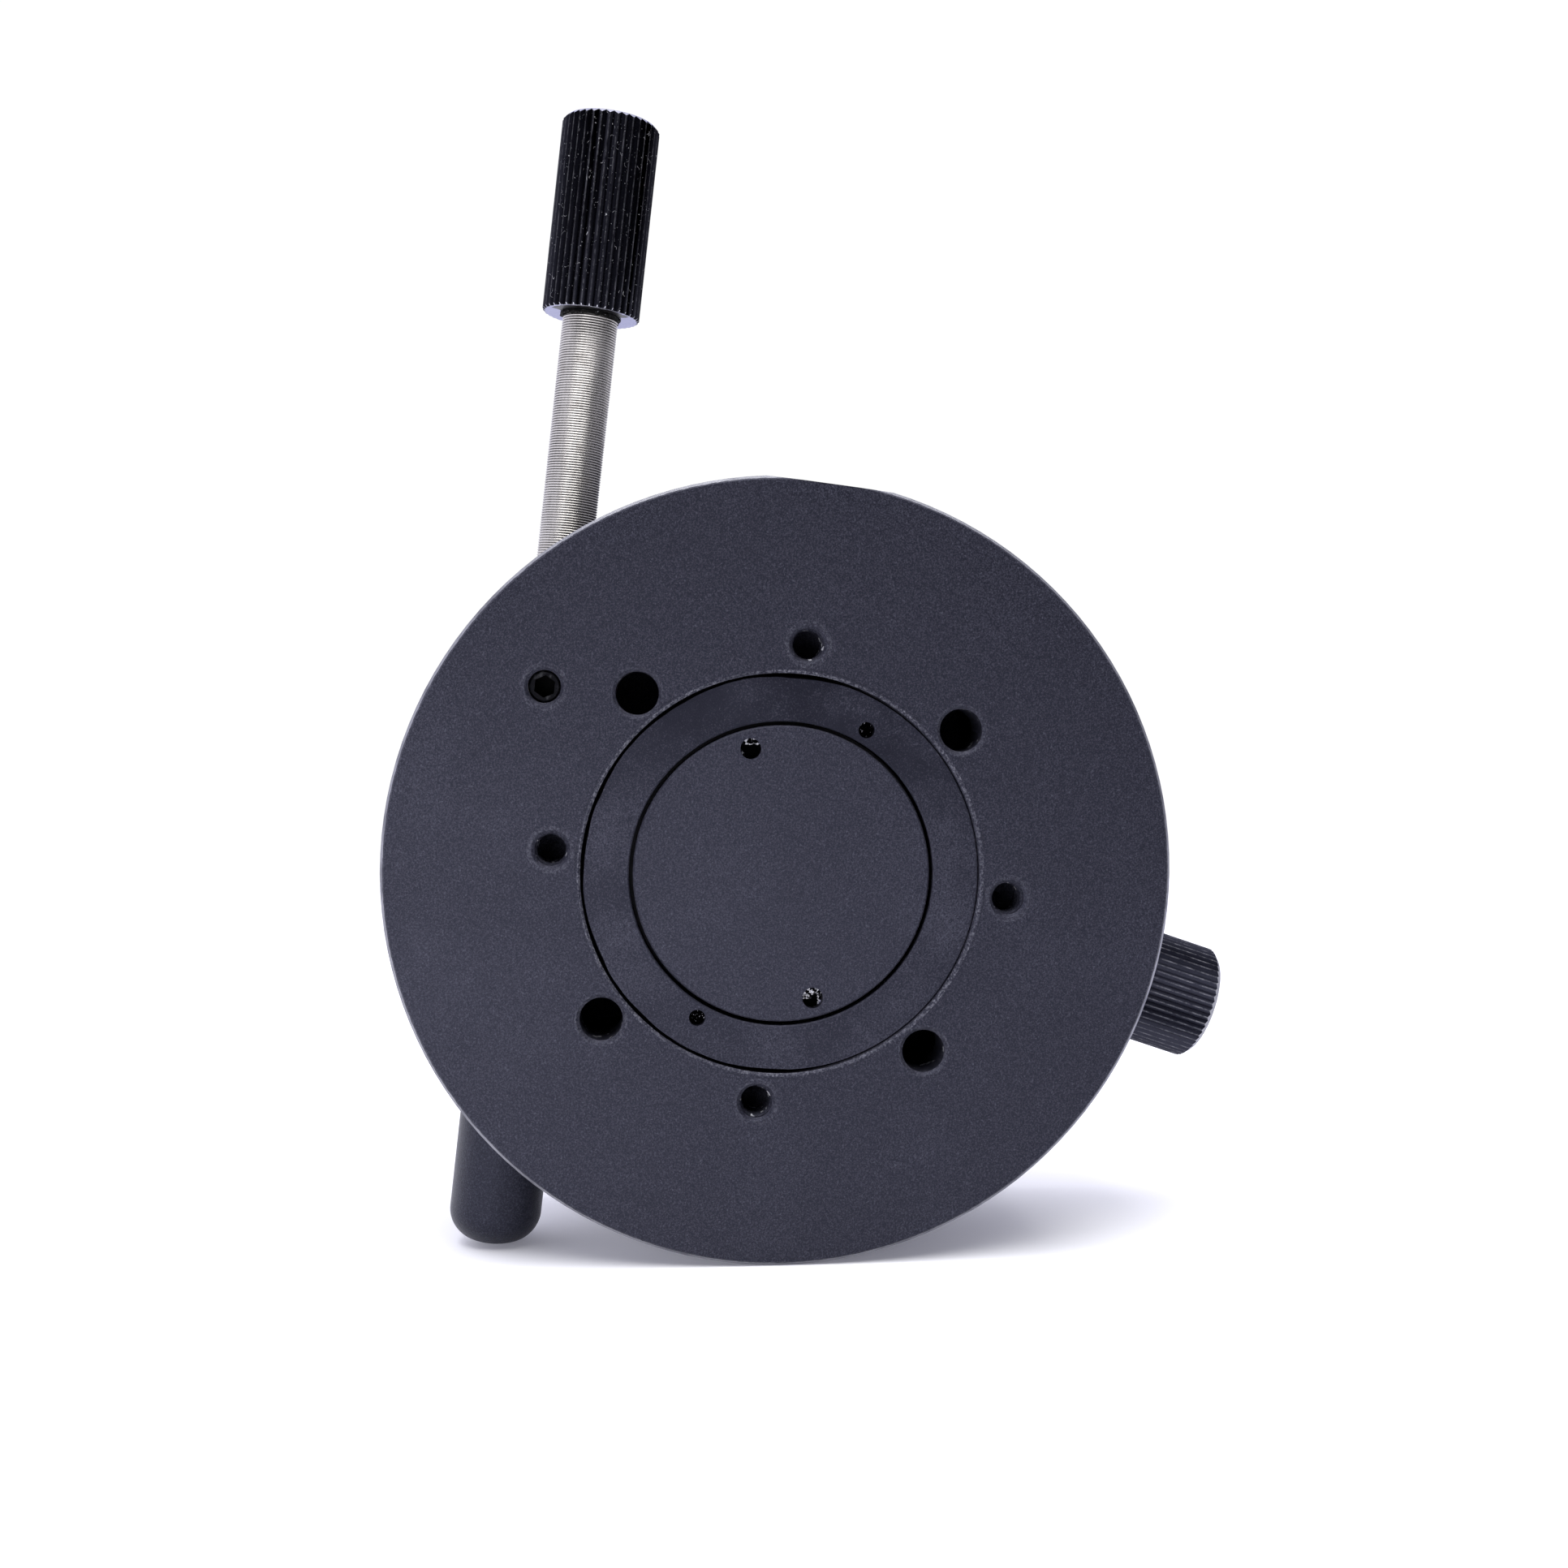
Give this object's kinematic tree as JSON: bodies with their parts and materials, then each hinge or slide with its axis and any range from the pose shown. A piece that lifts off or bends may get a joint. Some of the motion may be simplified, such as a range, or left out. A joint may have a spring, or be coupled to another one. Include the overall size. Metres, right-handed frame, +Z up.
{
  "type": "rotation stage",
  "caption": "Round manual rotation stage: table on ball bearings, side lock knob, long fine screw and spring plunger acting on a tangent arm inside the base.",
  "frame": {"origin": "centre of the base's underside, on the rotation axis", "axes": "+Z up along the rotation axis towards the table; +X along the fine screw towards its knob, which lies on the -Y side; the lock knob is on the +Y side"},
  "size_m": [0.1789, 0.1386, 0.041],
  "materials": {
    "anodised": "satin black anodised aluminium",
    "knob_black": "glossy black anodised knurling",
    "screw_steel": "bright stainless steel",
    "bearing_steel": "ground and polished",
    "turned_steel": "turned",
    "black_steel": "black oxide",
    "brass": "turned"
  },
  "bodies": {
    "base": {"base": "anodised", "retaining_ring": "anodised", "lower_outer_race": "bearing_steel", "outer_spacer": "turned_steel", "upper_outer_race": "bearing_steel", "adjuster_bush": "brass", "bush_set_screw": "black_steel", "spring_housing": "anodised", "plunger_spring": "screw_steel"},
    "drive_ring": {"drive_ring": "anodised", "arm_post": "bearing_steel"},
    "table": {"table": "anodised", "table_screws": "black_steel", "spindle": "turned_steel", "lower_inner_race": "bearing_steel", "inner_spacer": "turned_steel", "upper_inner_race": "bearing_steel", "clamp_disc": "anodised"},
    "lower_cage": {"lower_ball_cage": "brass", "lower_balls": "bearing_steel"},
    "upper_cage": {"upper_ball_cage": "brass", "upper_balls": "bearing_steel"},
    "lock_pad": {"lock_pad": "brass"},
    "lock_knob": {"lock_screw": "black_steel", "lock_knob": "knob_black"},
    "screw_ball": {"screw_ball": "bearing_steel"},
    "fine_screw": {"adjuster_screw": "screw_steel", "adjuster_knob": "knob_black", "knob_screw": "black_steel"},
    "plunger": {"plunger": "turned_steel"}
  },
  "joints": [
    {"name": "arm_swing", "type": "hinge", "parent": "base", "child": "drive_ring", "pos_m": [0, 0, 0.0256], "axis": [0, 0, 1], "range_deg": [-7.05, 7.05]},
    {"name": "table_turn", "type": "hinge", "parent": "drive_ring", "child": "table", "pos_m": [0, 0, 0.041], "axis": [0, 0, 1], "continuous": true},
    {"name": "lower_cage_turn", "type": "hinge", "parent": "base", "child": "lower_cage", "pos_m": [0, 0, 0.0091], "axis": [0, 0, 1], "continuous": true},
    {"name": "upper_cage_turn", "type": "hinge", "parent": "base", "child": "upper_cage", "pos_m": [0, 0, 0.0171], "axis": [0, 0, 1], "continuous": true},
    {"name": "lock_feed", "type": "slide", "parent": "drive_ring", "child": "lock_pad", "axis": [-0.2147, 0.9767, 0], "range_m": [0, 0.0008]},
    {"name": "lock_turn", "type": "hinge", "parent": "lock_pad", "child": "lock_knob", "pos_m": [-0.01288, 0.0586, 0.0256], "axis": [-0.2147, 0.9767, 0], "range_deg": [0, 361]},
    {"name": "screw_feed", "type": "slide", "parent": "base", "child": "screw_ball", "axis": [1, 0, 0], "range_m": [-0.00481, 0.00481]},
    {"name": "screw_turn", "type": "hinge", "parent": "screw_ball", "child": "fine_screw", "pos_m": [0.06, -0.039, 0.016], "axis": [1, 0, 0], "range_deg": [-4328.64, 4328.64]},
    {"name": "plunger_slide", "type": "slide", "parent": "base", "child": "plunger", "axis": [1, 0, 0], "range_m": [-0.00481, 0.00481], "deforming": ["plunger_spring"]}
  ],
  "couplings": [
    {"joint": "screw_feed", "follows": "arm_swing", "m_per_rad": 0.039},
    {"joint": "screw_turn", "follows": "arm_swing", "ratio": 612.61},
    {"joint": "plunger_slide", "follows": "arm_swing", "m_per_rad": 0.039},
    {"joint": "lower_cage_turn", "follows": "table_turn", "ratio": 0.461},
    {"joint": "upper_cage_turn", "follows": "table_turn", "ratio": 0.461},
    {"joint": "lock_turn", "follows": "lock_feed", "rad_per_m": 7854}
  ]
}
